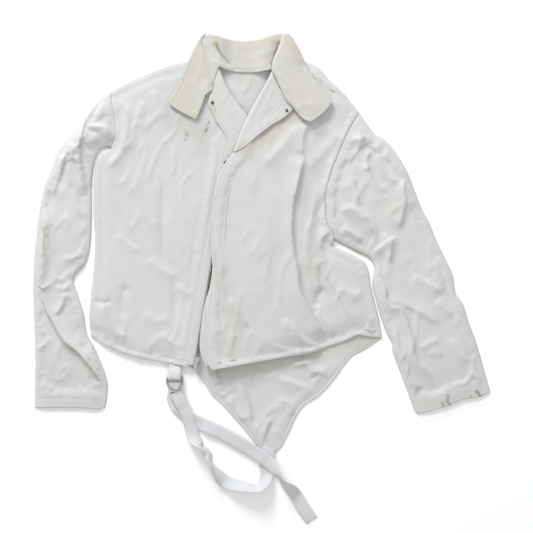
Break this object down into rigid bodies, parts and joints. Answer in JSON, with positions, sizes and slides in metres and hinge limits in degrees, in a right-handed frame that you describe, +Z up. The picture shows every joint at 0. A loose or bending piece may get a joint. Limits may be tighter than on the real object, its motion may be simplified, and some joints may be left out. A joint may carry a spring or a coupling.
{
  "type": "beekeeping jacket",
  "caption": "Cotton beekeeping jacket laid flat on its back, with turned-back collar and lapels, a fly-front zip, long sleeves and a pointed back tail whose strap locks in rings.",
  "frame": {"origin": "under the middle of the laid jacket's box, on the surface it lies on", "axes": "+Y from the hem to the collar, +Z up from the surface, +X towards the wearer's left side"},
  "size_m": [0.8696, 0.9336, 0.0246],
  "materials": {
    "drill": "matt, off-white cotton drill, washed and creased",
    "lining": "matt, self-cloth facing, slightly greyer",
    "tape": "matt woven zip tape",
    "webbing": "matt woven cotton webbing",
    "nickel": "dull nickel plate",
    "steel": "dark tarnished wire"
  },
  "bodies": {
    "jacket_body": {"back_panel": "drill", "right_front": "drill", "left_front": "drill", "right_lapel": "lining", "left_lapel": "lining", "collar_band": "drill", "zip_tape_right": "tape", "zip_teeth_right": "nickel", "zip_box": "nickel", "neck_eye": "steel", "neck_hook": "steel", "ring_tab": "webbing", "strap_lower_run": "webbing", "strap_upper_run": "webbing"},
    "left_front_opening": {"left_front_flap": "drill", "fly_facing": "lining", "zip_tape_left": "tape", "zip_teeth_left": "nickel", "zip_pin": "nickel"},
    "zip_slider": {"zip_slider": "nickel"},
    "zip_pull": {"zip_pull": "nickel"},
    "right_sleeve_fold": {"right_sleeve_head": "drill", "right_upper_sleeve": "drill", "right_lower_sleeve": "drill", "right_cuff": "drill"},
    "left_sleeve_fold": {"left_upper_sleeve": "drill", "left_lower_sleeve": "drill", "left_cuff": "drill"},
    "collar_leaf_right": {"collar_leaf_right": "drill"},
    "collar_leaf_left": {"collar_leaf_left": "drill"},
    "ring_set": {"ring_upper": "nickel", "ring_lower": "nickel", "strap_bight": "webbing"}
  },
  "joints": [
    {"name": "left_front_open", "type": "hinge", "parent": "jacket_body", "child": "left_front_opening", "pos_m": [-0.05412, 0.23978, 0.0213], "axis": [-0.368, 0.9298, 0], "range_deg": [0, 170]},
    {"name": "slider_travel", "type": "slide", "parent": "jacket_body", "child": "zip_slider", "axis": [0.1632, 0.9866, 0], "range_m": [0, 0.365]},
    {"name": "pull_flip", "type": "hinge", "parent": "zip_slider", "child": "zip_pull", "pos_m": [-0.12366, -0.15188, 0.0143], "axis": [-0.9866, 0.1632, 0], "range_deg": [0, 170]},
    {"name": "right_sleeve_turn", "type": "hinge", "parent": "jacket_body", "child": "right_sleeve_fold", "pos_m": [-0.28662, 0.30178, 0.0124], "axis": [0, 1, 0], "range_deg": [0, 170]},
    {"name": "left_sleeve_turn", "type": "hinge", "parent": "jacket_body", "child": "left_sleeve_fold", "pos_m": [0.13218, 0.07978, 0.0146], "axis": [0.1544, 0.988, 0], "range_deg": [-170, 0]},
    {"name": "right_leaf_turn", "type": "hinge", "parent": "jacket_body", "child": "collar_leaf_right", "pos_m": [-0.10312, 0.33378, 0.0155], "axis": [-0.0739, 0.9973, 0], "range_deg": [0, 115]},
    {"name": "left_leaf_turn", "type": "hinge", "parent": "jacket_body", "child": "collar_leaf_left", "pos_m": [0.08788, 0.30478, 0.0248], "axis": [-0.2701, 0.9628, 0], "range_deg": [-115, 0]},
    {"name": "ring_lift", "type": "hinge", "parent": "jacket_body", "child": "ring_set", "pos_m": [-0.16512, -0.18622, 0.0062], "axis": [-1, 0, 0], "range_deg": [0, 30]}
  ]
}
